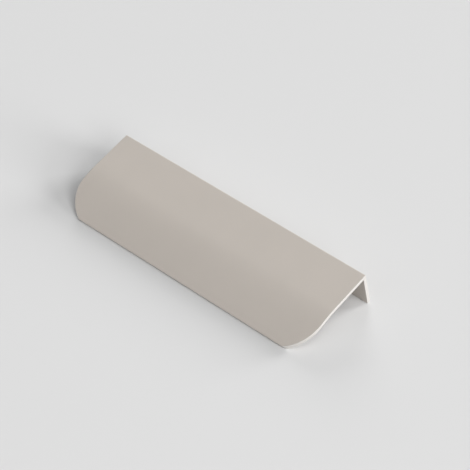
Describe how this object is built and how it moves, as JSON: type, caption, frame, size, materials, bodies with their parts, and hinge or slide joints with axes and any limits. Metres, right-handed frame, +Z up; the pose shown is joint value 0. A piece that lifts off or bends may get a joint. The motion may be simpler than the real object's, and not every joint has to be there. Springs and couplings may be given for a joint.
{
  "type": "handleless finger pull profile",
  "caption": "Handleless finger pull: an L-shaped aluminium profile with a back flange with countersunk holes, a flat plate and a curled front lip with rounded corners.",
  "frame": {"origin": "centre of the footprint, on the floor that the unheld profile lies on", "axes": "+X along the profile's length, -Y towards the curled lip, +Z up as it lies on the tip of its flange and the edge of its lip"},
  "size_m": [0.12, 0.0404, 0.0162],
  "materials": {
    "coated_aluminium": "satin"
  },
  "bodies": {
    "root": {"finger_pull": "coated_aluminium"}
  },
  "joints": []
}
